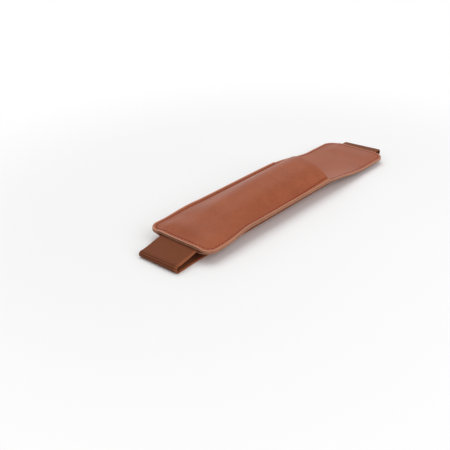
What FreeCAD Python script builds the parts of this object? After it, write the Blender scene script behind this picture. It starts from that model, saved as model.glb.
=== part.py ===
import FreeCAD, Part
import math
import os
import Sketcher
from FreeCAD import Placement, Rotation, Vector

# A leather pen sleeve with an elastic band that goes round a notebook cover.
# X runs along the sleeve to the flap end, Z is up from the underside of the band, in millimetres.

DOC = FreeCAD.newDocument("pen_sleeve")
SHEET = DOC.addObject("Spreadsheet::Sheet", "Sizes")

SIZES = {
    # Sleeve outline, lengths from its bottom edge
    "sleeve_length": 186.0,
    "sleeve_width": 45.0,
    "pocket_length": 115.6,
    "corner_radius": 6.8,
    # Leather
    "front_thickness": 0.9,
    "back_thickness": 0.75,
    "backing_thickness": 0.85,
    "glue_line": 0.1,
    # Form of the panels: the toe lies on the band's end and comes down past it, the long edges are drawn up
    "toe_rise": 2.7,
    "toe_fall_run": 31.5,
    "edge_lift": 5.15,
    "edge_lift_start": 5.0,
    "edge_lift_run": 36.0,
    "edge_fall_before_mouth": 5.6,
    "edge_fall_past_mouth": 44.4,
    # Crown of the pocket at the mouth: heights above the foot of its side, shoulders in from that foot
    "flange_width": 2.7,
    "foot_shift": 0.5,
    "crown_height": 9.8,
    "saddle_height": 8.5,
    "ledge_height": 4.3,
    "left_shoulder": 16.3,
    "left_radius": 6.5,
    "middle_shoulder": 14.8,
    "middle_radius": 14.0,
    "right_shoulder": 3.5,
    "right_radius": 2.4,
    # Elastic band and the cover that it goes round, which reaches past both ends of the sleeve
    "band_width": 28.0,
    "band_thickness": 0.95,
    "band_offset": 0.5,
    "cover_gap": 2.3,
    "cover_edge_radius": 0.6,
    "cover_edge_run": 1.4,
    "lower_reach": 15.7,
    "upper_reach": 8.3,
    "tail_length": 10.0,
    "tail_clearance": 0.1,
    "toe_spare": 1.0,
    "exit_run": 0.5,
    # Seam
    "seam_margin": 2.2,
    "stitch_pitch": 2.57,
    "stitch_length": 2.1,
    "thread_width": 0.65,
    "thread_height": 0.5,
    "thread_seat": 0.15,
}

for row, (alias, value) in enumerate(SIZES.items(), start=1):
    SHEET.set(f"A{row}", alias)
    SHEET.set(f"B{row}", str(value))
    SHEET.setAlias(f"B{row}", alias)
DOC.recompute()


def cell(alias):
    return f"Sizes.{alias}"


# Expressions that several pieces share
HALF_WIDTH = f"({cell('sleeve_width')} / 2)"
HALF_COVER = f"(({cell('lower_reach')} + {cell('sleeve_length')} + {cell('upper_reach')}) / 2)"
SEAT = f"({cell('band_thickness')} + {cell('cover_gap')})"
BOTTOM_X = f"({cell('lower_reach')} - {HALF_COVER})"
TOP_X = f"({BOTTOM_X} + {cell('sleeve_length')})"
MOUTH_X = f"({BOTTOM_X} + {cell('pocket_length')})"
TOE = f"({cell('tail_length')} + {cell('toe_spare')})"
BEND_X = f"({HALF_COVER} - {cell('cover_edge_radius')})"
BACKING_TOP = f"({SEAT} + {cell('backing_thickness')})"
BACK_UNDER = f"({BACKING_TOP} + {cell('glue_line')})"
BACK_TOP = f"({BACK_UNDER} + {cell('back_thickness')})"
FRONT_UNDER = f"({BACK_TOP} + {cell('glue_line')})"
TRIM_MARGIN = 20.0
SIDE_SPARE = 2.0
RAW_HALF_WIDTH = f"({HALF_WIDTH} + {SIDE_SPARE})"

# Sections stand one step apart along the sleeve, with one more past each end that the trim takes off
STEPS = 20
LEAST_LIFT = 0.05
LEAST_CROWN = 0.012
CROWN_POWER = 2.4

# Least share of a face's normal that points up or down in a skin, and the distance that counts as touching
LEAST_FACING = 0.3
TOUCHING = 1e-6
QUARTER = math.pi / 2


def number(expression):
    return float(SHEET.evalExpression(expression))


def size(alias):
    return float(SHEET.get(alias))


def ease(value, start, finish):
    share = min(max((value - start) / (finish - start), 0.0), 1.0)
    return share * share * (3.0 - 2.0 * share)


# Shares of toe_rise, edge_lift and crown_height at a distance from the bottom edge
def form_shares(along):
    toe = number(TOE)
    mouth = size("pocket_length")
    seam = size("flange_width")
    lift_start = size("edge_lift_start")
    rise = 1.0 - ease(along, toe, toe + size("toe_fall_run"))
    lift = ease(along, lift_start, lift_start + size("edge_lift_run"))
    lift *= 1.0 - ease(along, mouth - size("edge_fall_before_mouth"), mouth + size("edge_fall_past_mouth"))
    run = min(max((along - seam) / (mouth - seam), 0.0), 1.0)
    crown = 1.0 - (1.0 - run) ** CROWN_POWER
    return rise, max(lift, LEAST_LIFT), max(crown, LEAST_CROWN)


# Name, distance from the bottom edge and shares of each section
def stations():
    for index in range(-1, STEPS + 2):
        along = f"{index} * {cell('sleeve_length')} / {STEPS}"
        yield f"section_{index + 1}", along, form_shares(number(along))


def make_body(label):
    body = DOC.addObject("PartDesign::Body", label)
    body.Label = label
    body.Placement = Placement()
    return body


def make_sketch(body, name, plane, offset="0"):
    sketch = body.newObject("Sketcher::SketchObject", f"{body.Label}_{name}")
    support = [item for item in body.Origin.OriginFeatures if item.Role == plane][0]
    sketch.AttachmentSupport = [(support, "")]
    sketch.MapMode = "FlatFace"
    sketch.AttachmentOffset = Placement(Vector(0, 0, number(offset)), Rotation())
    sketch.setExpression("AttachmentOffset.Base.z", offset)
    return sketch


def constrain(sketch, kind, *arguments):
    *references, expression = arguments
    index = sketch.addConstraint(Sketcher.Constraint(kind, *references, number(expression)))
    sketch.setExpression(f"Constraints[{index}]", expression)


def pin(sketch, geometry, end, along, up):
    constrain(sketch, "DistanceX", -1, 1, geometry, end, along)
    constrain(sketch, "DistanceY", -1, 1, geometry, end, up)


def join(sketch, geometry, end, other, other_end):
    sketch.addConstraint(Sketcher.Constraint("Coincident", geometry, end, other, other_end))


def add_line(sketch, start, finish):
    return sketch.addGeometry(Part.LineSegment(Vector(*start, 0), Vector(*finish, 0)))


def draw_polygon(sketch, corners):
    points = [(number(along), number(up)) for along, up in corners]
    lines = [add_line(sketch, points[i - 1], points[i]) for i in range(len(points))]
    for i, (along, up) in enumerate(corners):
        pin(sketch, lines[i], 2, along, up)
        join(sketch, lines[i], 2, lines[(i + 1) % len(lines)], 1)


def draw_rounded_rectangle(sketch, left, right, half_width, radius):
    x0, x1, y1, r = (number(text) for text in (left, right, half_width, radius))
    centres = [(x1 - r, y1 - r), (x0 + r, y1 - r), (x0 + r, r - y1), (x1 - r, r - y1)]
    turns = []
    for quarter, (x, y) in enumerate(centres):
        circle = Part.Circle(Vector(x, y, 0), Vector(0, 0, 1), r)
        start = quarter * QUARTER
        turns.append(sketch.addGeometry(Part.ArcOfCircle(circle, start, start + QUARTER)))
    for quarter, turn in enumerate(turns):
        following = turns[(quarter + 1) % 4]
        start = sketch.getPoint(turn, 2)
        finish = sketch.getPoint(following, 1)
        side = add_line(sketch, (start.x, start.y), (finish.x, finish.y))
        sketch.addConstraint(Sketcher.Constraint("Tangent", turn, 2, side, 1))
        sketch.addConstraint(Sketcher.Constraint("Tangent", side, 2, following, 1))
        constrain(sketch, "Radius", turn, radius)
    pin(sketch, turns[0], 3, f"{right} - {radius}", f"{half_width} - {radius}")
    pin(sketch, turns[2], 3, f"{left} + {radius}", f"{radius} - {half_width}")


def pad_across_band(body, sketch):
    pad = body.newObject("PartDesign::Pad", f"{body.Label}_pad")
    pad.Profile = sketch
    pad.SideType = "Symmetric"
    pad.setExpression("Length", cell("band_width"))
    return pad


def cut_both_ways(body, sketch):
    pocket = body.newObject("PartDesign::Pocket", f"{sketch.Name}_cut")
    pocket.Profile = sketch
    pocket.SideType = "Symmetric"
    pocket.Type = "ThroughAll"
    return pocket


def loft_sections(body, sketches):
    loft = body.newObject("PartDesign::AdditiveLoft", f"{body.Label}_loft")
    loft.Profile = sketches[0]
    loft.Sections = sketches[1:]
    loft.Ruled = False
    return loft


# Height above its middle of a panel whose edges rise by lift, at a distance from the middle
def dish(lift, distance):
    radius = f"(({HALF_WIDTH}^2 + ({lift})^2) / (2 * ({lift})))"
    return f"({radius} - sqrt({radius}^2 - ({distance})^2))"


# Flat panel with its edges drawn up: an arc below, the same arc above
def draw_dished_section(sketch, middle, lift, thickness):
    arcs = []
    for height in (middle, f"{middle} + {thickness}"):
        edge = f"{height} + {dish(lift, RAW_HALF_WIDTH)}"
        left = Vector(-number(RAW_HALF_WIDTH), number(edge), 0)
        right = Vector(number(RAW_HALF_WIDTH), number(edge), 0)
        low = Vector(0, number(height), 0)
        arc = sketch.addGeometry(Part.Arc(left, low, right))
        point = sketch.addGeometry(Part.Point(low), True)
        sketch.addConstraint(Sketcher.Constraint("Symmetric", arc, 1, arc, 2, -2))
        pin(sketch, arc, 2, RAW_HALF_WIDTH, edge)
        sketch.addConstraint(Sketcher.Constraint("PointOnObject", point, 1, -2))
        constrain(sketch, "DistanceY", -1, 1, point, 1, height)
        sketch.addConstraint(Sketcher.Constraint("PointOnObject", point, 1, arc))
        arcs.append(arc)
    for end in (1, 2):
        low = sketch.getPoint(arcs[0], end)
        high = sketch.getPoint(arcs[1], end)
        side = add_line(sketch, (low.x, low.y), (high.x, high.y))
        join(sketch, side, 1, arcs[0], end)
        join(sketch, side, 2, arcs[1], end)


# Direction of the normal of the line over two rounds, where a plain corner is a round of no radius
def belt_normal(one, other):
    across = other[0] - one[0]
    up = other[1] - one[1]
    spread = math.acos((one[2] - other[2]) / math.hypot(across, up))
    return math.atan2(up, across) + spread


# Belt over a row of corners and rounds, each given as across, up and radius; gives its first and last line
def draw_belt(sketch, stops):
    values = [tuple(number(text) for text in stop) for stop in stops]
    normals = [belt_normal(values[i], values[i + 1]) for i in range(len(values) - 1)]
    lines = []
    for i, angle in enumerate(normals):
        ends = [(x + r * math.cos(angle), z + r * math.sin(angle)) for x, z, r in values[i:i + 2]]
        lines.append(add_line(sketch, *ends))
    for i, (across, up, radius) in enumerate(stops):
        if values[i][2] == 0:
            line, end = (lines[i], 1) if i < len(lines) else (lines[-1], 2)
            pin(sketch, line, end, across, up)
            if 0 < i < len(lines):
                join(sketch, lines[i - 1], 2, lines[i], 1)
            continue
        circle = Part.Circle(Vector(values[i][0], values[i][1], 0), Vector(0, 0, 1), values[i][2])
        arc = sketch.addGeometry(Part.ArcOfCircle(circle, normals[i], normals[i - 1]))
        sketch.addConstraint(Sketcher.Constraint("Tangent", lines[i - 1], 2, arc, 2))
        sketch.addConstraint(Sketcher.Constraint("Tangent", arc, 1, lines[i], 1))
        pin(sketch, arc, 3, across, up)
        constrain(sketch, "Radius", arc, radius)
    return lines[0], lines[-1]


# Pocket wall: flanges on the back panel, a steep left side, a level top and a slope to a ledge on the right
def draw_pocket_section(sketch, middle, lift, crown_share):
    thickness = cell("front_thickness")
    foot = f"({HALF_WIDTH} - {cell('flange_width')})"
    inner_foot = f"({foot} - {cell('foot_shift')})"
    foot_top = f"({middle} + {dish(lift, foot)} + {thickness})"
    rounds = []
    for across, height, radius in (
        (f"({cell('right_shoulder')} - {foot})", "ledge_height", "right_radius"),
        (f"({cell('middle_shoulder')} - {foot})", "saddle_height", "middle_radius"),
        (f"({foot} - {cell('left_shoulder')})", "crown_height", "left_radius"),
    ):
        rounds.append((across, f"({foot_top} + {crown_share} * {cell(height)})", cell(radius)))
    ends = []
    for drop, foot_place in ((f"{thickness}", inner_foot), ("0", foot)):
        edge_height = f"{middle} + {dish(lift, RAW_HALF_WIDTH)} + {thickness} - {drop}"
        foot_height = f"{middle} + {dish(lift, foot_place)} + {thickness} - {drop}"
        stops = [(f"-{RAW_HALF_WIDTH}", edge_height, "0"), (f"-{foot_place}", foot_height, "0")]
        stops += [(across, f"{top} - {radius}", f"{radius} - {drop}") for across, top, radius in rounds]
        stops += [(foot_place, foot_height, "0"), (RAW_HALF_WIDTH, edge_height, "0")]
        ends.append(draw_belt(sketch, stops))
    for side, end in ((0, 1), (1, 2)):
        low = sketch.getPoint(ends[0][side], end)
        high = sketch.getPoint(ends[1][side], end)
        line = add_line(sketch, (low.x, low.y), (high.x, high.y))
        join(sketch, line, 1, ends[0][side], end)
        join(sketch, line, 2, ends[1][side], end)


# Cut away all that lies outside the outline, with the far end square or rounded
def trim_outline(body, far_end):
    sketch = make_sketch(body, "outline", "XY_Plane")
    wide = f"{HALF_WIDTH} + {TRIM_MARGIN}"
    near = f"{BOTTOM_X} - {TRIM_MARGIN}"
    far = f"{TOP_X} + {TRIM_MARGIN}"
    draw_polygon(sketch, [(near, f"-({wide})"), (far, f"-({wide})"), (far, wide), (near, wide)])
    draw_rounded_rectangle(sketch, BOTTOM_X, far_end, HALF_WIDTH, cell("corner_radius"))
    return cut_both_ways(body, sketch)


# Skived recess for the elastic's tail, open at the sleeve's end
def cut_recess(body, name, inner_x, outer_x, tail_under):
    clearance = cell("tail_clearance")
    sketch = make_sketch(body, name, "XY_Plane", f"{tail_under} - {clearance}")
    half = f"({cell('band_width')} / 2 + {clearance})"
    low = f"-{cell('band_offset')} - {half}"
    high = f"-{cell('band_offset')} + {half}"
    draw_polygon(sketch, [(inner_x, low), (outer_x, low), (outer_x, high), (inner_x, high)])
    pocket = body.newObject("PartDesign::Pocket", f"{sketch.Name}_cut")
    pocket.Profile = sketch
    pocket.Reversed = True
    pocket.setExpression("Length", f"{cell('band_thickness')} + 2 * {clearance}")
    return pocket


LOWER_TAIL_X = f"({BOTTOM_X} + {cell('tail_length')})"
UPPER_TAIL_X = f"({TOP_X} - {cell('tail_length')})"
LOWER_TAIL_UNDER = f"({BACKING_TOP} + {cell('toe_rise')} - {cell('band_thickness')} / 2)"
UPPER_TAIL_UNDER = f"({BACKING_TOP} - {cell('band_thickness')} / 2)"
LOWER_RECESS = (f"{LOWER_TAIL_X} + {cell('tail_clearance')}", f"{BOTTOM_X} - {TRIM_MARGIN}")
UPPER_RECESS = (f"{UPPER_TAIL_X} - {cell('tail_clearance')}", f"{TOP_X} + {TRIM_MARGIN}")


def make_flat_panel(label, underside, thickness):
    body = make_body(label)
    sections = []
    for name, along, (rise_share, lift_share, _) in stations():
        sketch = make_sketch(body, name, "YZ_Plane", f"{BOTTOM_X} + {along}")
        middle = f"({underside} + {rise_share} * {cell('toe_rise')})"
        draw_dished_section(sketch, middle, f"({lift_share} * {cell('edge_lift')})", thickness)
        sections.append(sketch)
    loft_sections(body, sections)
    DOC.recompute()
    trim_outline(body, TOP_X)
    cut_recess(body, "lower_recess", *LOWER_RECESS, LOWER_TAIL_UNDER)
    cut_recess(body, "upper_recess", *UPPER_RECESS, UPPER_TAIL_UNDER)
    return body


def make_front_panel():
    body = make_body("front_panel")
    sections = []
    for name, along, (rise_share, lift_share, crown_share) in stations():
        sketch = make_sketch(body, name, "YZ_Plane", f"{BOTTOM_X} + {along}")
        middle = f"({FRONT_UNDER} + {rise_share} * {cell('toe_rise')})"
        draw_pocket_section(sketch, middle, f"({lift_share} * {cell('edge_lift')})", crown_share)
        sections.append(sketch)
    loft_sections(body, sections)
    DOC.recompute()
    trim_outline(body, f"({MOUTH_X} + 2 * {cell('corner_radius')})")
    sketch = make_sketch(body, "mouth_line", "XY_Plane")
    wide = f"{HALF_WIDTH} + {TRIM_MARGIN}"
    far = f"{TOP_X} + {TRIM_MARGIN}"
    draw_polygon(sketch, [(MOUTH_X, f"-({wide})"), (far, f"-({wide})"), (far, wide), (MOUTH_X, wide)])
    cut_both_ways(body, sketch)
    return body


# The band lies off the middle, so each side profile is drawn on a plane moved by band_offset
def band_sketch(body):
    return make_sketch(body, "profile", "XZ_Plane", cell("band_offset"))


# Sewn end of the strip: flat between the panels, then sloping down to the top of the cover's edge
def make_tail(label, way, inner_x, edge_x, under):
    body = make_body(label)
    sketch = band_sketch(body)
    line = [
        (inner_x, under),
        (f"{edge_x} + {way} * {cell('exit_run')}", under),
        (f"{way} * ({BEND_X} - {cell('cover_edge_run')})", SEAT),
        (f"{way} * {BEND_X}", SEAT),
    ]
    above = [(along, f"{up} + {cell('band_thickness')}") for along, up in reversed(line)]
    draw_polygon(sketch, line + above)
    pad_across_band(body, sketch)
    return body


# Turn of the strip round the cover's edge: a tight bend, a short upright face and a second bend
def make_turn(label, way):
    body = make_body(label)
    sketch = band_sketch(body)
    across = f"{way} * {BEND_X}"
    thickness = cell("band_thickness")
    inner_radius = cell("cover_edge_radius")
    heights = (f"{thickness} + {inner_radius}", f"{SEAT} - {inner_radius}")
    starts = (3 * QUARTER, 0.0) if way > 0 else (2 * QUARTER, QUARTER)
    face_ends = (2, 1) if way > 0 else (1, 2)
    bends = []
    for radius in (inner_radius, f"{inner_radius} + {thickness}"):
        pair = []
        for height, start, face_end in zip(heights, starts, face_ends):
            circle = Part.Circle(Vector(number(across), number(height), 0), Vector(0, 0, 1), number(radius))
            arc = sketch.addGeometry(Part.ArcOfCircle(circle, start, start + QUARTER))
            pin(sketch, arc, 3, across, height)
            constrain(sketch, "Radius", arc, radius)
            constrain(sketch, "DistanceX", -1, 1, arc, 3 - face_end, across)
            pair.append(arc)
        low = sketch.getPoint(pair[0], face_ends[0])
        high = sketch.getPoint(pair[1], face_ends[1])
        face = add_line(sketch, (low.x, low.y), (high.x, high.y))
        sketch.addConstraint(Sketcher.Constraint("Tangent", pair[0], face_ends[0], face, 1))
        sketch.addConstraint(Sketcher.Constraint("Tangent", face, 2, pair[1], face_ends[1]))
        bends.append(pair)
    for inner, outer, face_end in zip(*bends, face_ends):
        start = sketch.getPoint(inner, 3 - face_end)
        finish = sketch.getPoint(outer, 3 - face_end)
        cut = add_line(sketch, (start.x, start.y), (finish.x, finish.y))
        join(sketch, cut, 1, inner, 3 - face_end)
        join(sketch, cut, 2, outer, 3 - face_end)
    pad_across_band(body, sketch)
    return body


def make_back_run():
    body = make_body("elastic_back_run")
    sketch = band_sketch(body)
    left = f"-{BEND_X}"
    top = cell("band_thickness")
    draw_polygon(sketch, [(left, "0"), (BEND_X, "0"), (BEND_X, top), (left, top)])
    pad_across_band(body, sketch)
    return body


# Point at a distance along the seam, a rounded rectangle seam_margin inside the edge
def seam_place(distance):
    inset = size("seam_margin")
    radius = size("corner_radius") - inset
    long_side = size("sleeve_length") - 2 * size("corner_radius")
    short_side = size("sleeve_width") - 2 * size("corner_radius")
    corner = Vector(number(BOTTOM_X) + inset + radius, inset + radius - number(HALF_WIDTH), 0)
    heading = 0.0
    bend = radius * QUARTER
    for side in (long_side, short_side, long_side, short_side):
        forward = Vector(math.cos(heading), math.sin(heading), 0)
        outward = Vector(math.sin(heading), -math.cos(heading), 0)
        if distance <= side:
            return corner + outward * radius + forward * distance
        corner = corner + forward * side
        distance -= side
        if distance <= bend:
            angle = distance / radius
            return corner + outward * (radius * math.cos(angle)) + forward * (radius * math.sin(angle))
        distance -= bend
        heading += QUARTER
    return seam_place(distance)


def seam_length():
    radius = size("corner_radius") - size("seam_margin")
    straight = size("sleeve_length") + size("sleeve_width") - 4 * size("corner_radius")
    return 2 * straight + 2 * math.pi * radius


# Faces of a panel that look up or down
def skin(panel, way):
    faces = []
    for face in panel.Shape.Faces:
        u0, u1, v0, v1 = face.ParameterRange
        if way * face.normalAt((u0 + u1) / 2, (v0 + v1) / 2).z > LEAST_FACING:
            faces.append(face)
    return Part.makeCompound(faces)


# Height at which the upright line through a place meets a skin, or None beside it
def skin_height(faces, place):
    reach = Vector(0, 0, size("sleeve_width"))
    gap, pairs, _ = faces.distToShape(Part.makeLine(place - reach, place + reach))
    return pairs[0][0].z if gap < TOUCHING else None


# One visible strand: a three-sided spindle, fullest in the middle, its ends in two needle holes
def make_stitch(start, finish, way):
    forward = (finish - start).normalize()
    aside = Vector(0, 0, 1).cross(forward).normalize() * (size("thread_width") / 2)
    outward = forward.cross(aside).normalize() * (way * size("thread_height"))
    middle = (start + finish) / 2
    corners = [middle + aside, middle + outward, middle - aside]
    waist = Part.makePolygon(corners + corners[:1])
    return Part.makeLoft([Part.Vertex(start), waist, Part.Vertex(finish)], True, True)


def make_thread(label, panels, way):
    skins = [skin(panel, way) for panel in panels]
    count = round(seam_length() / size("stitch_pitch"))
    pitch = seam_length() / count
    depth = Vector(0, 0, -way * size("thread_seat"))
    stitches = []
    for index in range(count):
        middle = (index + 0.5) * pitch
        ends = [seam_place(middle + side * size("stitch_length") / 2) for side in (-1, 1)]
        for faces in skins:
            heights = [skin_height(faces, end) for end in ends]
            if None not in heights:
                break
        else:
            continue
        seated = [end + Vector(0, 0, height) + depth for end, height in zip(ends, heights)]
        stitches.append(make_stitch(*seated, way))
    thread = DOC.addObject("Part::Feature", label)
    thread.Label = label
    thread.Shape = Part.makeCompound(stitches)
    thread.Placement = Placement()
    return thread


front_panel = make_front_panel()
back_panel = make_flat_panel("back_panel", BACK_UNDER, cell("back_thickness"))
backing_panel = make_flat_panel("backing_panel", SEAT, cell("backing_thickness"))
lower_tail = make_tail("elastic_lower_tail", -1, LOWER_TAIL_X, BOTTOM_X, LOWER_TAIL_UNDER)
upper_tail = make_tail("elastic_upper_tail", 1, UPPER_TAIL_X, TOP_X, UPPER_TAIL_UNDER)
lower_turn = make_turn("elastic_lower_turn", -1)
upper_turn = make_turn("elastic_upper_turn", 1)
back_run = make_back_run()
DOC.recompute()
needle_thread = make_thread("needle_thread", [front_panel, back_panel], 1)
bobbin_thread = make_thread("bobbin_thread", [backing_panel], -1)
DOC.recompute()

PIECES = [
    front_panel, back_panel, backing_panel, lower_tail, lower_turn, back_run, upper_turn, upper_tail,
    needle_thread, bobbin_thread,
]

for item in DOC.Objects:
    if "Invalid" in item.State or "Error" in item.State:
        raise RuntimeError(f"{item.Label} did not build: {item.State}")

os.makedirs("parts", exist_ok=True)
for piece in PIECES:
    if piece.Shape.isNull() or not piece.Shape.isValid():
        raise RuntimeError(f"{piece.Label} has no valid shape")
    piece.Shape.exportStep(f"parts/{piece.Label}.step")
    print(piece.Label, round(piece.Shape.Volume, 1), len(piece.Shape.Solids))
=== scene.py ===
import math
import bpy
import numpy as np
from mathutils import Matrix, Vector


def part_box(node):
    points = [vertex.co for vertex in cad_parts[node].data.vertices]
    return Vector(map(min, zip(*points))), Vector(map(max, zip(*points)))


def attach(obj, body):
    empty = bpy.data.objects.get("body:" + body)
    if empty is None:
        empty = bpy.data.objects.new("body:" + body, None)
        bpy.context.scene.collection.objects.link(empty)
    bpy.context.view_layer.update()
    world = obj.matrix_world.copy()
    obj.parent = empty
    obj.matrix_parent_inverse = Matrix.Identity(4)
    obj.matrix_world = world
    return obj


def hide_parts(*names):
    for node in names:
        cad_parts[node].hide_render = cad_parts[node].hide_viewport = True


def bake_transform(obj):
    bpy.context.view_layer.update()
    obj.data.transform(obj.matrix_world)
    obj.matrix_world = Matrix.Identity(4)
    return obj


# Leather pen sleeve with an elastic band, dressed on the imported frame
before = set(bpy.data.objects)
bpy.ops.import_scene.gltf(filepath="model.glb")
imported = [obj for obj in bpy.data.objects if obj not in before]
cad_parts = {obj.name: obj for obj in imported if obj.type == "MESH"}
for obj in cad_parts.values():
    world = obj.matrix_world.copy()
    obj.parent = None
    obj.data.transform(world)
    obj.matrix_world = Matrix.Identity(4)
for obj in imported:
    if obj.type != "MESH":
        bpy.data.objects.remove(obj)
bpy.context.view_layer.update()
mm = 0.001
scene = bpy.context.scene
scene.view_settings.view_transform = "Standard"
print("frame loaded:", ", ".join(sorted(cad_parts)))

backLow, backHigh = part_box("back_panel")
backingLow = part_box("backing_panel")[0]
frontLow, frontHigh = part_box("front_panel")
runLow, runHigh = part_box("elastic_back_run")
lowerTailLow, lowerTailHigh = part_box("elastic_lower_tail")
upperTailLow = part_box("elastic_upper_tail")[0]
lowerTurnLow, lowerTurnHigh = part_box("elastic_lower_turn")


def ease(value, start, finish):
    share = np.clip((np.asarray(value, float) - start) / (finish - start), 0.0, 1.0)
    return share * share * (3.0 - 2.0 * share)


def srgb(red, green, blue):
    parts = [part / 255.0 for part in (red, green, blue)]
    return tuple(p / 12.92 if p <= 0.04045 else ((p + 0.055) / 1.055) ** 2.4 for p in parts) + (1.0,)


def feed(tree, socket, value):   # a link from another node, or a plain value
    if isinstance(value, bpy.types.NodeSocket):
        tree.links.new(value, socket)
    else:
        socket.default_value = value


def addNode(tree, kind, values=None, **settings):
    made = tree.nodes.new(kind)
    for name, value in settings.items():
        setattr(made, name, value)
    for name, value in (values or {}).items():
        feed(tree, made.inputs[name], value)
    return made


def newMaterial(name):
    material = bpy.data.materials.new(name)
    material.use_nodes = True
    tree = material.node_tree
    tree.nodes.clear()
    output = tree.nodes.new("ShaderNodeOutputMaterial")
    surface = tree.nodes.new("ShaderNodeBsdfPrincipled")
    tree.links.new(surface.outputs["BSDF"], output.inputs["Surface"])
    return material, tree, surface


def mathNode(tree, operation, first, second=0.0):
    return addNode(tree, "ShaderNodeMath", {0: first, 1: second}, operation=operation).outputs[0]


def vectorNode(tree, operation, first, second):
    return addNode(tree, "ShaderNodeVectorMath", {0: first, 1: second}, operation=operation).outputs[0]


def mixColour(tree, factor, first, second):   # sockets 6 and 7 are the two colours, output 2 the mixed one
    return addNode(tree, "ShaderNodeMix", {0: factor, 6: first, 7: second}, data_type="RGBA").outputs[2]


def mapRange(tree, value, low, high, toLow=0.0, toHigh=1.0, smooth=True):
    made = addNode(tree, "ShaderNodeMapRange", {
        "Value": value, "From Min": low, "From Max": high, "To Min": toLow, "To Max": toHigh,
    }, interpolation_type="SMOOTHSTEP" if smooth else "LINEAR")
    return made.outputs["Result"]


def objectPlace(tree):
    return tree.nodes.new("ShaderNodeTexCoord").outputs["Object"]


def axesOf(tree, place):
    return addNode(tree, "ShaderNodeSeparateXYZ", {"Vector": place}).outputs


def readAttribute(tree, name):
    return addNode(tree, "ShaderNodeAttribute", attribute_name=name).outputs["Fac"]


def newGroup(name, kind, inputs, outputs):
    tree = bpy.data.node_groups.new(name, kind)
    for label, value in inputs.items():   # a number, or the name of another kind of socket
        plain = not isinstance(value, str)
        socketType = "NodeSocket" + type(value).__name__.capitalize() if plain else value
        socket = tree.interface.new_socket(name=label, in_out="INPUT", socket_type=socketType)
        if plain:
            socket.default_value = value
    for label, socketType in outputs.items():
        tree.interface.new_socket(name=label, in_out="OUTPUT", socket_type=socketType)
    return tree, tree.nodes.new("NodeGroupInput"), tree.nodes.new("NodeGroupOutput")


def plainMesh(piece):
    graph = bpy.context.evaluated_depsgraph_get()
    mesh = bpy.data.meshes.new_from_object(piece.evaluated_get(graph))
    piece.modifiers.clear()
    piece.data = mesh


def addModifierTree(piece, tree, values):
    modifier = piece.modifiers.new(tree.name, "NODES")
    modifier.node_group = tree
    for item in tree.interface.items_tree:
        if item.in_out == "INPUT" and item.name in values:
            modifier[item.identifier] = values[item.name]


def newPiece(name, vertices, faces, edges=()):
    mesh = bpy.data.meshes.new(name)
    mesh.from_pydata([tuple(v) for v in vertices], list(edges), [tuple(f) for f in faces])
    mesh.update()
    piece = bpy.data.objects.new(name, mesh)
    scene.collection.objects.link(piece)
    return piece


def addAttribute(piece, label, values, kind="FLOAT", field="value"):
    attribute = piece.data.attributes.new(label, kind, "POINT")
    attribute.data.foreach_set(field, np.asarray(values, np.float32).ravel())


# Camera
view = {
    "place": (-313.76 * mm, -228.4 * mm, 183.95 * mm),
    "turn": (62.367, 0.634, -49.462),
    "lens": 54.39,
    "sensor": 36.0,
    "nearest": 0.01,
}

cameraData = bpy.data.cameras.new("camera")
cameraData.lens = view["lens"]
cameraData.sensor_width = view["sensor"]
cameraData.clip_start = view["nearest"]
camera = bpy.data.objects.new("camera", cameraData)
camera.location = view["place"]
camera.rotation_euler = [math.radians(angle) for angle in view["turn"]]
scene.collection.objects.link(camera)
scene.camera = camera
print("camera set")


# Form that the three panels share: the toe lies on the band's end, the long edges are drawn up
form = {
    "toeRise": 2.7 * mm,
    "toeFlat": 11.0 * mm,
    "toeFallRun": 31.5 * mm,
    "toeLiftShare": (0.02, 0.16),   # the toe's right and left corners are drawn up a little too
    "edgeLift": 5.2 * mm,
    "edgeLiftStart": 11.0 * mm,
    "edgeLiftRun": 28.0 * mm,
    "leftMore": 0.05,          # the left edge is drawn up further, most of all near the mouth
    "leftMoreAtMouth": 0.14,
    "leftMoreRun": (40.0 * mm, 100.0 * mm),
    "leastLift": 0.02,
    "edgeFallBeforeMouth": 5.6 * mm,
    "edgeFallPastMouth": 44.4 * mm,
    "bowlShare": 0.63,         # the rest of the section levels out towards the edges
    "cutSpare": 0.6 * mm,      # the flat cut is this much wider on each side than the drawn-up sleeve
    "cornerRound": 6.8 * mm,
    "flapRound": 8.8 * mm,
    "tailLength": 10.0 * mm,
    "tailSpread": 12.0 * mm,   # the layers close again over this distance beyond the band's end
    "besideBand": (3.6 * mm, 7.0 * mm),   # and over this distance beside it, on the left and on the right
    "overBandSide": 0.6 * mm,  # counted from this far inside the band's own edge
    "glueLine": 0.03 * mm,
    "seamMargin": 2.3 * mm,
    "grooveDepth": 0.22 * mm,
    "grooveWidth": 0.5 * mm,
}
sleeveLength = backHigh.x - backLow.x
pocketLength = frontHigh.x - frontLow.x
halfWidth = backHigh.y
seatHeight = backingLow.z
bandThickness = runHigh.z
bandMiddle = (runLow.y + runHigh.y) / 2
bandHalf = (runHigh.y - runLow.y) / 2
stackMiddle = 0.97 * mm    # half of the three layers and their glue


def riseAt(along):
    return form["toeRise"] * (1.0 - ease(along, form["toeFlat"], form["toeFlat"] + form["toeFallRun"]))


def liftAt(along, across):
    start = form["edgeLiftStart"]
    least = np.where(across > 0.0, form["toeLiftShare"][1], form["toeLiftShare"][0])
    share = least + (1.0 - least) * ease(along, start, start + form["edgeLiftRun"])
    fallStart = pocketLength - form["edgeFallBeforeMouth"]
    fallEnd = pocketLength + form["edgeFallPastMouth"]
    share = share * (1.0 - ease(along, fallStart, fallEnd))
    gain = form["leftMoreAtMouth"] - form["leftMore"]
    more = form["leftMore"] + gain * ease(along, *form["leftMoreRun"])
    return form["edgeLift"] * np.maximum(share, form["leastLift"]) * np.where(across > 0.0, 1.0 + more, 1.0)


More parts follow.
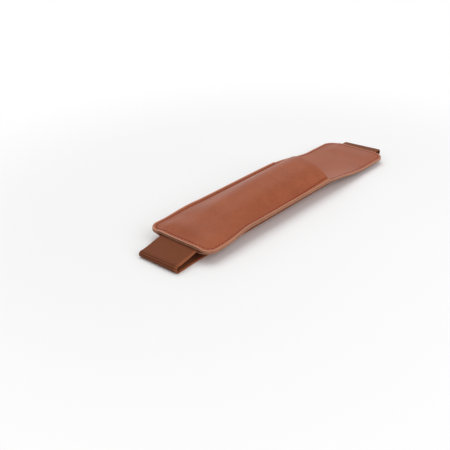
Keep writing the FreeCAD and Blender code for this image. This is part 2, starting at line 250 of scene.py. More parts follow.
def sectionShare(out):    # height of the bowl over the width, 0 in the middle and 1 at the edge
    bowl = form["bowlShare"]
    inside = np.minimum(out, 1.0)
    share = bowl * inside ** 2 + (1.0 - bowl) * (1.0 - np.cos(math.pi * inside)) / 2
    return share + 2.0 * bowl * (out - inside)


def sectionSlope(out):
    bowl = form["bowlShare"]
    inside = np.minimum(out, 1.0)
    return 2.0 * bowl * inside + (1.0 - bowl) * math.pi / 2 * np.sin(math.pi * inside)


slopeStep = 0.005
slopeSteps = np.linspace(0.0, 1.2, 241)   # past 1, for the spare beside the sleeve's half width
slopeMiddles = (slopeSteps[1:] + slopeSteps[:-1]) / 2
slopeSums = np.concatenate([[0.0], np.cumsum(sectionSlope(slopeMiddles) ** 2) * slopeStep])


def edgeDistance(along, across):
    half = halfWidth + form["cutSpare"]
    corner = np.where(along < sleeveLength / 2, form["cornerRound"], form["flapRound"])
    qx = np.abs(along - sleeveLength / 2) - (sleeveLength / 2 - corner)
    qy = np.abs(across) - (half - corner)
    outside = np.hypot(np.maximum(qx, 0.0), np.maximum(qy, 0.0))
    return corner - outside - np.minimum(np.maximum(qx, qy), 0.0)


def grooveAt(along, across):
    offset = (edgeDistance(along, across) - form["seamMargin"]) / form["grooveWidth"]
    return form["grooveDepth"] * np.exp(-offset * offset)


def bandSwellAt(along, across):   # 1 over the band's sewn ends, 0 away from them
    aside = np.abs(across - bandMiddle) - bandHalf
    near = 1.0 - ease(aside, -form["overBandSide"], np.where(across > 0.0, *form["besideBand"]))
    close = (form["tailLength"], form["tailLength"] + form["tailSpread"])
    ends = 2.0 - ease(along, *close) - ease(sleeveLength - along, *close)
    return near * np.clip(ends, 0.0, 1.0)


def datumPoint(along, across, height):   # a point at a height over the sleeve's underside
    lift = liftAt(along, across)
    out = np.abs(across) / halfWidth
    drawnIn = 0.5 * lift ** 2 / halfWidth * np.interp(out, slopeSteps, slopeSums)
    middle = across - np.sign(across) * drawnIn
    out = np.abs(middle) / halfWidth
    slope = np.sign(middle) * lift / halfWidth * sectionSlope(out)
    steep = np.hypot(1.0, slope)
    over = height - stackMiddle
    y = middle - over * slope / steep
    z = seatHeight + riseAt(along) + stackMiddle + lift * sectionShare(out) + over / steep
    return np.stack([backLow.x + along, y, z], axis=-1)


# Sheets: a grid inside, rings that follow the outline outside it, a rounded cut edge
sheetMesh = {
    "lengthStep": 1.2 * mm,
    "acrossSteps": 38,
    "cornerSteps": 9,
    "leastRound": 0.05 * mm,
    "edgeRound": 0.42,         # share of the thickness
    "edgeAngles": (0.0, 25.0, 50.0, 70.0, 90.0),
    "ringInsets": (4.4, 3.6, 3.1, 2.8, 2.55, 2.3, 2.05, 1.8, 1.5, 1.1, 0.75),   # millimetres
}


def outlineRows(length, endRound, inset):
    half = halfWidth + form["cutSpare"] - inset
    rounds = [max(corner - inset, sheetMesh["leastRound"]) for corner in (form["cornerRound"], endRound)]
    turns = [math.radians(90.0) * k / sheetMesh["cornerSteps"] for k in range(sheetMesh["cornerSteps"] + 1)]
    first = [(inset + rounds[0] * (1 - math.cos(a)), half - rounds[0] + rounds[0] * math.sin(a))
             for a in turns]
    last = [(length - inset - rounds[1] * (1 - math.cos(a)), half - rounds[1] + rounds[1] * math.sin(a))
            for a in reversed(turns)]
    count = round((length - form["cornerRound"] - endRound) / sheetMesh["lengthStep"])
    straight = np.linspace(first[-1][0], last[0][0], count + 1)[1:-1]
    return np.array(first + [(along, half) for along in straight] + last)


def sheetGrid(length, endRound, inset):
    rows = outlineRows(length, endRound, inset)
    spread = np.linspace(-1.0, 1.0, sheetMesh["acrossSteps"] + 1)
    along = np.repeat(rows[:, :1], len(spread), axis=1)
    return along, rows[:, 1:] * spread[None, :]


def rimOf(grid):
    return np.concatenate([grid[:-1, 0], grid[-1, :-1], grid[:0:-1, -1], grid[0, :0:-1]])


def edgeProfile(thickness):   # inset, share of the thickness and cut share from the upper face to the lower
    rounding = sheetMesh["edgeRound"] * thickness
    flat = [(inset * mm, 0.0, 0.0) for inset in sheetMesh["ringInsets"]]
    turn = []
    for angle in sheetMesh["edgeAngles"]:
        a = math.radians(angle)
        turn.append((rounding * (1 - math.sin(a)), rounding * (1 - math.cos(a)) / thickness, math.sin(a)))
    upper = flat[1:] + turn
    lower = [(inset, 1.0 - share, cut) for inset, share, cut in reversed(upper)]
    return flat[0][0], upper + [(0.0, 0.5, 1.0)] + lower


def buildSheet(name, length, endRound, thickness, place):
    inner, profile = edgeProfile(thickness)
    grid = sheetGrid(length, endRound, inner)
    rows, columns = grid[0].shape
    index = np.arange(rows * columns).reshape(rows, columns)
    points = [place(grid[0].ravel(), grid[1].ravel(), 0.0)]
    edgeShare = [edgeDistance(grid[0].ravel(), grid[1].ravel())]
    cutShare = [np.zeros(rows * columns)]
    loops = [rimOf(index)]
    total = rows * columns
    for inset, share, cut in profile:
        ring = [rimOf(part) for part in sheetGrid(length, endRound, inset)]
        points.append(place(ring[0], ring[1], share))
        edgeShare.append(edgeDistance(ring[0], ring[1]))
        cutShare.append(np.full(len(ring[0]), cut))
        loops.append(np.arange(total, total + len(ring[0])))
        total += len(ring[0])
    under = index + total
    points.append(place(grid[0].ravel(), grid[1].ravel(), 1.0))
    edgeShare.append(edgeShare[0])
    cutShare.append(cutShare[0])
    loops.append(rimOf(under))
    faces = []
    for i in range(rows - 1):
        for j in range(columns - 1):
            faces.append((index[i, j], index[i + 1, j], index[i + 1, j + 1], index[i, j + 1]))
            faces.append((under[i, j], under[i, j + 1], under[i + 1, j + 1], under[i + 1, j]))
    upperFaces = len(faces)
    for above, below in zip(loops[:-1], loops[1:]):
        for k in range(len(above)):
            after = (k + 1) % len(above)
            faces.append((above[k], below[k], below[after], above[after]))
    piece = newPiece(name, np.concatenate(points), faces)
    for label, values in (("edgeDistance", edgeShare), ("cutEdge", cutShare)):
        addAttribute(piece, label, np.concatenate(values))
    piece.data.polygons.foreach_set("use_smooth", [True] * len(faces))
    half = len(profile) // 2 * len(loops[0])
    lowerRing = [False] * upperFaces + [n >= half for n in range(len(faces) - upperFaces)]
    lowerGrid = [n for n in range(upperFaces) if n % 2]
    piece["underside"] = lowerGrid + [n for n, low in enumerate(lowerRing) if low]
    return piece


# Backing panel: against the cover, with the lower half of the seam
backing = {
    "thickness": 0.6 * mm,
    "underBand": 0.42,         # share of the band's thickness that this panel gives way by
    "toeSag": 0.42 * mm,
}


def placeBacking(along, across, share):
    swell = bandSwellAt(along, across)
    height = (backing["thickness"] - swell * backing["underBand"] * bandThickness) * (1.0 - share)
    sag = backing["toeSag"] * swell * (along < sleeveLength / 2)
    return datumPoint(along, across, height + grooveAt(along, across) * share - sag)


backingPanel = buildSheet(
    "backing_leather", sleeveLength, form["flapRound"], backing["thickness"], placeBacking)
print("backing panel:", len(backingPanel.data.polygons), "faces")


# Back panel: goes on past the mouth as the flap
back = {
    "thickness": 0.58 * mm,
    "overBand": 0.62,          # share of the band's thickness that this panel rises by
    "grooveRun": 2.0 * mm,     # the groove of the flap fades out under the front panel
}
backUnder = backing["thickness"] + form["glueLine"]


def placeBack(along, across, share):
    swell = bandThickness * bandSwellAt(along, across)
    height = backUnder + back["thickness"] * (1.0 - share) + swell * back["overBand"]
    onFlap = ease(along, pocketLength - back["grooveRun"], pocketLength)
    height = height - grooveAt(along, across) * (1.0 - share) * onFlap
    return datumPoint(along, across, height)


backPanel = buildSheet("back_leather", sleeveLength, form["flapRound"], back["thickness"], placeBack)
print("back panel:", len(backPanel.data.polygons), "faces")


# Front panel: the moulded pocket wall
front = {
    "thickness": 0.7 * mm,
    "flange": 2.9 * mm,
    "overBand": 0.98,
    "mouthRound": 0.3 * mm,
    "sewnDown": (1.5 * mm, 9.0 * mm),   # the pocket opens over this run behind the toe
    "rightFlangeAtMouth": 1.2 * mm,   # the right flange turns down at the mouth
    "turnStart": 78.0 * mm,
    "crownPower": 2.4,
    "puff": 0.5 * mm,          # the leather swells beside the seam
    "puffStart": 0.4 * mm,
    "puffRun": 3.2 * mm,
    "puffLoss": 0.8,           # and less so over the last part of the pocket
    "puffLossRun": (55.0 * mm, 100.0 * mm),
    "softening": 0.7 * mm,     # how far the mould's corners are rounded off
    "shoulders": [             # place across, height over the foot at the mouth, radius, how late it rises
        (-17.2 * mm, 3.4 * mm, 2.6 * mm, 3.0),
        (-5.0 * mm, 8.3 * mm, 14.0 * mm, 0.0),
        (1.6 * mm, 9.6 * mm, 12.5 * mm, 0.0),
    ],
}
frontUnder = backUnder + back["thickness"] + form["glueLine"]
frontTop = frontUnder + front["thickness"]
profileStep = 0.1 * mm
profileReach = 2.0 * mm
profileAcross = np.arange(-halfWidth - profileReach, halfWidth + profileReach, profileStep)
shoulderAngles = [math.radians(degrees) for degrees in range(4, 178, 2)]


def upperHull(points):
    hull = []
    for point in sorted(points):
        while len(hull) > 1:
            (ax, az), (bx, bz) = hull[-2], hull[-1]
            if (bx - ax) * (point[1] - az) < (bz - az) * (point[0] - ax):
                break
            hull.pop()
        hull.append(point)
    return np.array(hull)


def pocketProfile(along):
    rim = datumPoint(np.full_like(profileAcross, along), profileAcross, frontTop)
    flat = np.interp(profileAcross, rim[:, 1], rim[:, 2])
    run = min(max((along - front["flange"]) / (pocketLength - front["flange"]), 0.0), 1.0)
    crown = 1.0 - (1.0 - run) ** front["crownPower"]
    turn = float(ease(along, front["turnStart"], pocketLength))
    cut = halfWidth + form["cutSpare"]
    rightFlange = front["flange"] + turn * (front["rightFlangeAtMouth"] - front["flange"])
    feet = datumPoint(np.full(2, along), np.array([rightFlange - cut, cut - front["flange"]]), frontTop)
    level = feet[1, 2]
    stops = [tuple(foot) for foot in feet[:, 1:]]
    for across, height, shoulder, late in front["shoulders"]:
        centre = level + crown * run ** late * height - shoulder
        stops += [(across + shoulder * math.cos(a), centre + shoulder * math.sin(a))
                  for a in shoulderAngles]
    stops = [stop for stop in stops if feet[0, 1] <= stop[0] <= feet[1, 1]]
    hull = upperHull(stops)
    raised = np.interp(profileAcross, hull[:, 0], hull[:, 1])
    inside = (profileAcross > feet[0, 1]) & (profileAcross < feet[1, 1])
    opened = float(ease(along, *front["sewnDown"]))
    top = flat + np.where(inside, np.maximum(raised - flat, 0.0), 0.0) * opened
    reach = int(round(3 * front["softening"] / profileStep))
    kernel = np.exp(-0.5 * (np.arange(-reach, reach + 1) * profileStep / front["softening"]) ** 2)
    padded = np.pad(top, reach, mode="reflect", reflect_type="odd")
    return np.convolve(padded, kernel / kernel.sum(), mode="valid")


profileCache = {}
cacheStep = 0.01 * mm


def placeFront(along, across, share):
    swell = bandThickness * front["overBand"] * bandSwellAt(along, across)
    groove = grooveAt(along, across) * (1.0 - share)
    fromSeam = edgeDistance(along, across) - form["seamMargin"] - front["puffStart"]
    inward = np.maximum(fromSeam, 0.0) / front["puffRun"]
    puff = front["puff"] * (1.0 - front["puffLoss"] * ease(along, *front["puffLossRun"]))
    swell = swell + puff * (1.0 - np.exp(-inward * inward))
    flat = datumPoint(along, across, np.full_like(along, frontTop))
    made = np.zeros((len(along), 3))
    for place, (point, lift) in enumerate(zip(flat, swell - groove)):
        key = round(float(along[place]) / cacheStep)
        if key not in profileCache:
            top = pocketProfile(float(along[place]))
            profileCache[key] = (top, np.gradient(top, profileStep))
        top, slope = profileCache[key]
        height = np.interp(point[1], profileAcross, top)
        fall = np.interp(point[1], profileAcross, slope)
        steep = math.hypot(1.0, fall)
        down = front["thickness"] * share
        made[place] = (point[0], point[1] + down * fall / steep, height - down / steep + lift)
    return made


frontPanel = buildSheet("pocket_leather", pocketLength, front["mouthRound"], front["thickness"], placeFront)
print("front panel:", len(frontPanel.data.polygons), "faces")

# Seams: lines along the stitch groove, with the leather's own normal at each point
seam = {
    "pitch": 2.57 * mm,
    "length": 1.8 * mm,
    "width": 0.75 * mm,
    "sink": 0.13 * mm,
    "arch": 0.5,               # how far a stitch dips at its ends, as a share of its width
    "taper": 0.45,
    "slant": 5.0,              # degrees
    "sway": 0.035,             # radians, at random
    "seed": 7,
    "rings": 7,
    "sides": 8,
    "lineStep": 0.4 * mm,
    "normalStep": 0.05 * mm,
    "mouthGap": 1.5 * mm,
}


def seamSides():   # each straight side of the seam and the corner after it, from the toe's right corner on
    width = 2 * (halfWidth + form["cutSpare"])
    toe, flap = form["cornerRound"], form["flapRound"]
    longSide = sleeveLength - toe - flap
    return [(longSide, flap), (width - 2 * flap, flap), (longSide, toe), (width - 2 * toe, toe)]


def seamPoint(distance):   # place on the flat cut at a distance along the seam
    spot = np.array([form["cornerRound"], form["seamMargin"] - halfWidth - form["cutSpare"]])
    heading = 0.0
    for side, corner in seamSides():
        forward = np.array([math.cos(heading), math.sin(heading)])
        inward = np.array([-math.sin(heading), math.cos(heading)])
        bend = corner - form["seamMargin"]
        if distance <= side:
            return spot + forward * distance
        spot = spot + forward * side
        distance -= side
        if distance <= bend * math.pi / 2:
            a = distance / bend
            return spot + forward * bend * math.sin(a) + inward * bend * (1.0 - math.cos(a))
        spot = spot + (forward + inward) * bend
        distance -= bend * math.pi / 2
        heading += math.pi / 2
    return spot


seamLength = sum(side + (corner - form["seamMargin"]) * math.pi / 2 for side, corner in seamSides())


def seamLine(name, place, share, keep, closed):
    flat = np.array([seamPoint(d) for d in np.arange(0.0, seamLength, seam["lineStep"])])
    wanted = np.array([keep(point[0]) for point in flat])
    if not closed:   # start the run just after a gap, so that it stays in one piece
        first = [k for k in range(len(flat)) if wanted[k] and not wanted[k - 1]][0]
        flat = np.roll(flat, -first, axis=0)[:int(wanted.sum())]
    along, across = flat[:, 0], flat[:, 1]
    step = seam["normalStep"]
    here = place(along, across, share)
    ahead = place(along + step, across, share) - here
    aside = place(along, across + step, share) - here
    normal = np.cross(ahead, aside)
    normal /= np.linalg.norm(normal, axis=1)[:, None]
    if share > 0.5:
        normal = -normal
    last = len(here) if closed else len(here) - 1
    piece = newPiece(name, here, [], [(k, (k + 1) % len(here)) for k in range(last)])
    addAttribute(piece, "seamNormal", normal, "FLOAT_VECTOR", "vector")
    return piece


def stitchTree():
    tree, source, result = newGroup("stitchRow", "GeometryNodeTree", {
        "Seam": "NodeSocketGeometry",
        "Pitch": seam["pitch"],
        "Stitch Length": seam["length"],
        "Thread Width": seam["width"],
        "Sink": seam["sink"],
        "Slant": math.radians(seam["slant"]),
        "Seed": seam["seed"],
        "Material": "NodeSocketMaterial",
    }, {"Stitches": "NodeSocketGeometry"})
    inputs = source.outputs
    half = mathNode(tree, "MULTIPLY", inputs["Stitch Length"], 0.5)
    start = addNode(tree, "ShaderNodeCombineXYZ", {"X": mathNode(tree, "MULTIPLY", half, -1.0)})
    end = addNode(tree, "ShaderNodeCombineXYZ", {"X": half})
    line = addNode(tree, "GeometryNodeCurvePrimitiveLine", {
        "Start": start.outputs[0], "End": end.outputs[0]})
    strand = addNode(tree, "GeometryNodeResampleCurve", {"Curve": line.outputs[0], "Count": seam["rings"]})
    along = tree.nodes.new("GeometryNodeSplineParameter").outputs["Factor"]
    centred = mathNode(tree, "SUBTRACT", mathNode(tree, "MULTIPLY", along, 2.0), 1.0)
    fall = mathNode(tree, "MULTIPLY", centred, centred)
    archShare = mathNode(tree, "MULTIPLY", fall, -seam["arch"])
    arch = mathNode(tree, "MULTIPLY", inputs["Thread Width"], archShare)
    drop = mathNode(tree, "SUBTRACT", arch, inputs["Sink"])
    lowered = addNode(tree, "ShaderNodeCombineXYZ", {"Z": drop})
    moved = addNode(tree, "GeometryNodeSetPosition", {
        "Geometry": strand.outputs[0], "Offset": lowered.outputs[0]})
    stored = addNode(tree, "GeometryNodeStoreNamedAttribute",
                     {"Geometry": moved.outputs[0], "Name": "strandAlong", "Value": along})
    narrowing = mathNode(tree, "MULTIPLY", mathNode(tree, "POWER", fall, 2.0), seam["taper"])
    taper = mathNode(tree, "SUBTRACT", 1.0, narrowing)
    radius = mathNode(tree, "MULTIPLY", inputs["Thread Width"], 0.5)
    ring = addNode(tree, "GeometryNodeCurvePrimitiveCircle", {
        "Resolution": seam["sides"], "Radius": radius})
    around = tree.nodes.new("GeometryNodeSplineParameter").outputs["Factor"]
    ringStored = addNode(tree, "GeometryNodeStoreNamedAttribute",
                         {"Geometry": ring.outputs[0], "Name": "strandAround", "Value": around})
    tube = addNode(tree, "GeometryNodeCurveToMesh", {
        "Curve": stored.outputs[0], "Profile Curve": ringStored.outputs[0],
        "Scale": taper, "Fill Caps": True})
    smooth = addNode(tree, "GeometryNodeSetShadeSmooth", {"Geometry": tube.outputs[0]})
    path = addNode(tree, "GeometryNodeMeshToCurve", {"Mesh": inputs["Seam"]})
    spaced = addNode(tree, "GeometryNodeResampleCurve", {"Curve": path.outputs[0]}, mode="LENGTH")
    tree.links.new(inputs["Pitch"], spaced.inputs["Length"])
    tangent = tree.nodes.new("GeometryNodeInputTangent").outputs[0]
    lookUp = addNode(tree, "GeometryNodeInputNamedAttribute", {
        "Name": "seamNormal"}, data_type="FLOAT_VECTOR")
    upright = [socket for socket in lookUp.outputs if socket.enabled][0]
    forward = addNode(tree, "FunctionNodeAlignRotationToVector", {"Vector": tangent}, axis="X")
    seated = addNode(tree, "FunctionNodeAlignRotationToVector",
                     {"Rotation": forward.outputs[0], "Vector": upright}, axis="Z", pivot_axis="X")
    sway = addNode(tree, "FunctionNodeRandomValue", {"Seed": inputs["Seed"]})
    least, most = [socket for socket in sway.inputs if socket.identifier in ("Min_001", "Max_001")]
    least.default_value = -seam["sway"]
    most.default_value = seam["sway"]
    swayValue = [socket for socket in sway.outputs if socket.enabled][0]
    slant = addNode(tree, "FunctionNodeAxisAngleToRotation",
                    {"Axis": (0.0, 0.0, 1.0), "Angle": mathNode(tree, "ADD", inputs["Slant"], swayValue)})
    turned = addNode(tree, "FunctionNodeRotateRotation",
                     {"Rotation": seated.outputs[0], "Rotate By": slant.outputs[0]}, rotation_space="LOCAL")
    placed = addNode(tree, "GeometryNodeInstanceOnPoints", {
        "Points": spaced.outputs[0], "Instance": smooth.outputs[0], "Rotation": turned.outputs[0]})
    real = addNode(tree, "GeometryNodeRealizeInstances", {"Geometry": placed.outputs[0]})
    painted = addNode(tree, "GeometryNodeSetMaterial",
                      {"Geometry": real.outputs[0], "Material": inputs["Material"]})
    tree.links.new(painted.outputs[0], result.inputs[0])
    return tree


# Elastic: one strip from tail to tail round the cover's two edges, ribbed across
elastic = {
    "exitRun": 0.5 * mm,
    "edgeRun": 2.2 * mm,
    "exitBend": 5.0 * mm,
    "slopeBend": 3.0 * mm,
    "foldBend": 1.6 * mm,
    "bendSteps": 12,
    "sideRound": 0.3 * mm,
    "sideSteps": 3,
    "ribPitch": 1.08 * mm,
    "ribSteps": 5.0,
    "ribSharpness": 2.5,
    "ribDepth": 0.014 * mm,
    "foldRibDepth": 0.17 * mm,
    "foldRun": 2.4 * mm,
    "skew": 0.006,             # the band runs slightly askew under the sleeve
    "neck": 0.95,              # it narrows where it is pulled out of the seam
    "neckRun": (88.0 * mm, 104.0 * mm),
    "bowRun": 8.0 * mm,        # it leaves the seam with the panels' bow
    "coverRoll": 1.8,          # degrees between the cover's plane and the sleeve's
    "coverRun": (92.0 * mm, 101.0 * mm),
    "upperSide": (1.0 * mm, 3.5 * mm),   # heights between the back run and the run over the cover
}


def bandPath():
    half = bandThickness / 2
    foldX = runHigh.x + (lowerTurnHigh.x - lowerTurnLow.x) - half
    foldBend = elastic["foldBend"]
    seatZ = lowerTailLow.z + half
    givenWay = backing["underBand"] * bandThickness
    flapZ = seatHeight + backing["thickness"] - givenWay + half   # between the layers
    toeZ = flapZ + form["toeRise"] - backing["toeSag"]
    ends = [
        (lowerTailHigh.x, toeZ, 0.0),
        (backLow.x - elastic["exitRun"], toeZ, elastic["exitBend"]),
        (elastic["edgeRun"] - runHigh.x, seatZ, elastic["slopeBend"]),
        (-foldX, seatZ, foldBend),
        (-foldX, half, foldBend),
        (foldX, half, foldBend),
        (foldX, seatZ, foldBend),
        (runHigh.x - elastic["edgeRun"], seatZ, elastic["slopeBend"]),
        (backHigh.x + elastic["exitRun"], flapZ, elastic["exitBend"]),
        (upperTailLow.x, flapZ, 0.0),
    ]
    piece = newPiece("elastic_strip", [(x, bandMiddle, z) for x, z, _ in ends], [],
                     [(k, k + 1) for k in range(len(ends) - 1)])
    addAttribute(piece, "bendRadius", [bend for _, _, bend in ends])
    return piece


def ribbedBandTree():
    tree, source, result = newGroup("ribbedBand", "GeometryNodeTree", {
        "Path": "NodeSocketGeometry",
        "Width": 2 * bandHalf,
        "Thickness": bandThickness,
        "Side Round": elastic["sideRound"],
        "Rib Pitch": elastic["ribPitch"],
        "Rib Depth": elastic["ribDepth"],
        "Fold Rib Depth": elastic["foldRibDepth"],
        "Fold Start": runHigh.x - elastic["foldRun"],
        "Fold End": runHigh.x,
        "Material": "NodeSocketMaterial",
    }, {"Band": "NodeSocketGeometry"})
    inputs = source.outputs
    line = addNode(tree, "GeometryNodeMeshToCurve", {"Mesh": inputs["Path"]})
    bend = addNode(tree, "GeometryNodeInputNamedAttribute", {"Name": "bendRadius"})
    rounded = addNode(tree, "GeometryNodeFilletCurve", {
        "Curve": line.outputs[0], "Radius": bend.outputs[0], "Limit Radius": True,
        "Count": elastic["bendSteps"]}, mode="POLY")
    step = mathNode(tree, "DIVIDE", inputs["Rib Pitch"], elastic["ribSteps"])
    even = addNode(tree, "GeometryNodeResampleCurve", {
        "Curve": rounded.outputs[0], "Length": step}, mode="LENGTH")
    steady = addNode(tree, "GeometryNodeSetCurveNormal",
                     {"Curve": even.outputs[0], "Normal": (0.0, 1.0, 0.0)}, mode="FREE")
    run = tree.nodes.new("GeometryNodeSplineParameter").outputs["Length"]
    stored = addNode(tree, "GeometryNodeStoreNamedAttribute",
                     {"Geometry": steady.outputs[0], "Name": "runLength", "Value": run})
    section = addNode(tree, "GeometryNodeCurvePrimitiveQuadrilateral",
                      {"Width": inputs["Width"], "Height": inputs["Thickness"]})
    soft = addNode(tree, "GeometryNodeFilletCurve", {
        "Curve": section.outputs[0], "Radius": inputs["Side Round"],
        "Count": elastic["sideSteps"]}, mode="POLY")
    strip = addNode(tree, "GeometryNodeCurveToMesh", {
        "Curve": stored.outputs[0], "Profile Curve": soft.outputs[0], "Fill Caps": True})
    runHere = addNode(tree, "GeometryNodeInputNamedAttribute", {"Name": "runLength"}).outputs[0]
    turns = mathNode(tree, "DIVIDE", runHere, inputs["Rib Pitch"])
    wave = mathNode(tree, "SINE", mathNode(tree, "MULTIPLY", turns, 2.0 * math.pi))
    trough = mathNode(tree, "MULTIPLY", mathNode(tree, "SUBTRACT", 1.0, wave), 0.5)
    dip = mathNode(tree, "POWER", trough, elastic["ribSharpness"])
    place = axesOf(tree, tree.nodes.new("GeometryNodeInputPosition").outputs[0])
    outX = mathNode(tree, "ABSOLUTE", place["X"])
    onFold = addNode(tree, "ShaderNodeMapRange", {
        "Value": outX, "From Min": inputs["Fold Start"], "From Max": inputs["Fold End"],
        "To Min": inputs["Rib Depth"], "To Max": inputs["Fold Rib Depth"]}, interpolation_type="SMOOTHSTEP")
    depth = mathNode(tree, "MULTIPLY", dip, onFold.outputs[0])
    shade = addNode(tree, "GeometryNodeStoreNamedAttribute", {
        "Geometry": strip.outputs[0], "Name": "ribShade",
        "Value": mathNode(tree, "DIVIDE", depth, inputs["Fold Rib Depth"])})
    normal = tree.nodes.new("GeometryNodeInputNormal").outputs["Normal"]
    level = vectorNode(tree, "MULTIPLY", normal, (1.0, 0.0, 1.0))   # the sides stay straight
    push = addNode(tree, "ShaderNodeVectorMath", {
        0: level, "Scale": mathNode(tree, "MULTIPLY", depth, -2.0)}, operation="SCALE")
    ribbed = addNode(tree, "GeometryNodeSetPosition", {
        "Geometry": shade.outputs[0], "Offset": push.outputs[0]})
    smooth = addNode(tree, "GeometryNodeSetShadeSmooth", {"Geometry": ribbed.outputs[0]})
    real = addNode(tree, "GeometryNodeRealizeInstances", {"Geometry": smooth.outputs[0]})
    painted = addNode(tree, "GeometryNodeSetMaterial",
                      {"Geometry": real.outputs[0], "Material": inputs["Material"]})
    tree.links.new(painted.outputs[0], result.inputs[0])
    return tree


def settleBand(piece):   # the band lies on the cover, not on the sleeve's own plane
    spots = np.empty(3 * len(piece.data.vertices))
    piece.data.vertices.foreach_get("co", spots)
    spots = spots.reshape(-1, 3)
    out = np.abs(spots[:, 0])
    free = ease(out, *elastic["coverRun"])
    width = elastic["neck"] + (1.0 - elastic["neck"]) * ease(out, *elastic["neckRun"])
    off = spots[:, 1] - bandMiddle
    spots[:, 1] = bandMiddle + elastic["skew"] * spots[:, 0] + off * width
    high = ease(spots[:, 2], *elastic["upperSide"])
    along = spots[:, 0] - backLow.x
    bowed = 1.0 - ease(np.maximum(-along, along - sleeveLength), 0.0, elastic["bowRun"])
    lift = liftAt(np.clip(along, 0.0, sleeveLength), spots[:, 1])
    bow = lift * sectionShare(np.abs(spots[:, 1]) / halfWidth)
    spots[:, 2] += bow * bowed * high
    spots[:, 2] -= math.tan(math.radians(elastic["coverRoll"])) * spots[:, 1] * free * high
    piece.data.vertices.foreach_set("co", spots.ravel())
    piece.data.update()


# Leather: fine grain, mottled dye, burnished cut edge with a painted highlight, painted shade in the stitch
# groove
leather = {
    "dye": srgb(153, 82, 53),
    "dyeDeep": srgb(139, 70, 44),
    "dyeWarm": srgb(163, 91, 60),
    # burnished edge colour that is also a painted highlight on the rounded edge
    "edgeBurnishAndHighlight": srgb(203, 148, 120),
    "edgeTan": srgb(156, 108, 84),
    "edgeDeep": srgb(132, 89, 68),
    # painted shade: a darker red line along the stitch groove
    "grooveShadeRed": srgb(120, 50, 30),
    "grooveShadeShare": (0.25, 0.65),   # painted shade in the groove, on the right and on the left
    "grooveShadeFade": (0.1 * mm, 0.7 * mm),
    "rimRubAndHighlightShare": (0.5, 0.85),   # the edge is rubbed paler and carries a painted highlight, most of all on the left
    "rimRubAndHighlightFade": (0.3 * mm, 1.1 * mm),
    # across the sleeve, the painted groove shade and rim highlight grow from the right to the left
    "rightToLeft": (-8.0 * mm, 16.0 * mm),
    "cornerRubAndHighlightCut": (0.1, 0.6),   # shares of the rounded edge: the rubbed corner with a painted highlight, then the raw cut
    "rawCut": (0.7, 0.98),
    "rawTones": (0.35, 0.65),
    "dyeTones": (0.32, 0.68),
    "roughTones": (0.3, 0.7),
    "evenness": 0.45,          # share of the plain dye over the mottled one
    "poreShade": 0.22,
    "grainSize": 0.55 * mm,
    "roughness": 0.47,
    "unevenness": 0.05,
    "specular": 0.15,
    "bump": 0.35,
    "depth": 0.035 * mm,
}
flesh = {
    "tan": srgb(150, 98, 72),
    "deep": srgb(120, 74, 52),
    "tones": (0.3, 0.7),
    "grainSize": 0.3 * mm,
    "roughness": 0.85,
    "specular": 0.2,
    "bump": 0.6,
    "depth": 0.12 * mm,
}


def dressSurface(tree, surface, look, colour, roughness, height):
    bump = addNode(tree, "ShaderNodeBump", {
        "Height": height, "Strength": look["bump"], "Distance": look["depth"]})
    for label, value in (("Base Color", colour), ("Roughness", roughness), ("Normal", bump.outputs[0]),
                         ("Specular IOR Level", look["specular"])):
        feed(tree, surface.inputs[label], value)


grainLook = {
    "warpScale": 900.0,
    "warp": 0.3 * mm,
    "crease": 0.22,
    "poreScale": 0.45,         # against the scale of the creases
    "poreWidth": (0.08, 0.22),
    "poreDepth": 0.6,
    "wideScale": 55.0,
    "cloudScale": 420.0,
    "cloudDepth": 0.8,
    "wideShare": 0.65,
    "cloudShare": 0.35,
    "cloudRoughness": 0.6,
}


def noiseNode(tree, place, scale, detail, roughness=0.5):
    return addNode(tree, "ShaderNodeTexNoise", {
        "Vector": place, "Scale": scale, "Detail": detail, "Roughness": roughness}).outputs


def grainGroup():
    tree, source, result = newGroup("leatherGrain", "ShaderNodeTree", {"Grain Size": leather["grainSize"]}, {
        "Height": "NodeSocketFloat", "Pores": "NodeSocketFloat", "Mottle": "NodeSocketFloat"})
    place = objectPlace(tree)
    fine = mathNode(tree, "DIVIDE", 1.0, source.outputs["Grain Size"])
    warp = noiseNode(tree, place, grainLook["warpScale"], 2.0)["Color"]
    bent = vectorNode(tree, "MULTIPLY", warp, (grainLook["warp"], grainLook["warp"], grainLook["warp"]))
    there = vectorNode(tree, "ADD", place, bent)
    cells = addNode(tree, "ShaderNodeTexVoronoi", {
        "Vector": there, "Scale": fine}, feature="DISTANCE_TO_EDGE")
    creases = mapRange(tree, cells.outputs["Distance"], 0.0, grainLook["crease"])
    dots = addNode(tree, "ShaderNodeTexVoronoi", {
        "Vector": place, "Scale": mathNode(tree, "MULTIPLY", fine, grainLook["poreScale"])})
    pores = mapRange(tree, dots.outputs["Distance"], *grainLook["poreWidth"], 1.0, 0.0)
    wide = noiseNode(tree, place, grainLook["wideScale"], 5.0, grainLook["cloudRoughness"])["Fac"]
    cloud = noiseNode(tree, place, grainLook["cloudScale"], 4.0, grainLook["cloudRoughness"])["Fac"]
    height = mathNode(tree, "SUBTRACT", creases, mathNode(tree, "MULTIPLY", pores, grainLook["poreDepth"]))
    height = mathNode(tree, "ADD", height, mathNode(tree, "MULTIPLY", cloud, grainLook["cloudDepth"]))
    mottle = mathNode(tree, "ADD", mathNode(tree, "MULTIPLY", wide, grainLook["wideShare"]),
                      mathNode(tree, "MULTIPLY", cloud, grainLook["cloudShare"]))
    for label, value in (("Height", height), ("Pores", pores), ("Mottle", mottle)):
        tree.links.new(value, result.inputs[label])
    return tree


leatherGrain = grainGroup()


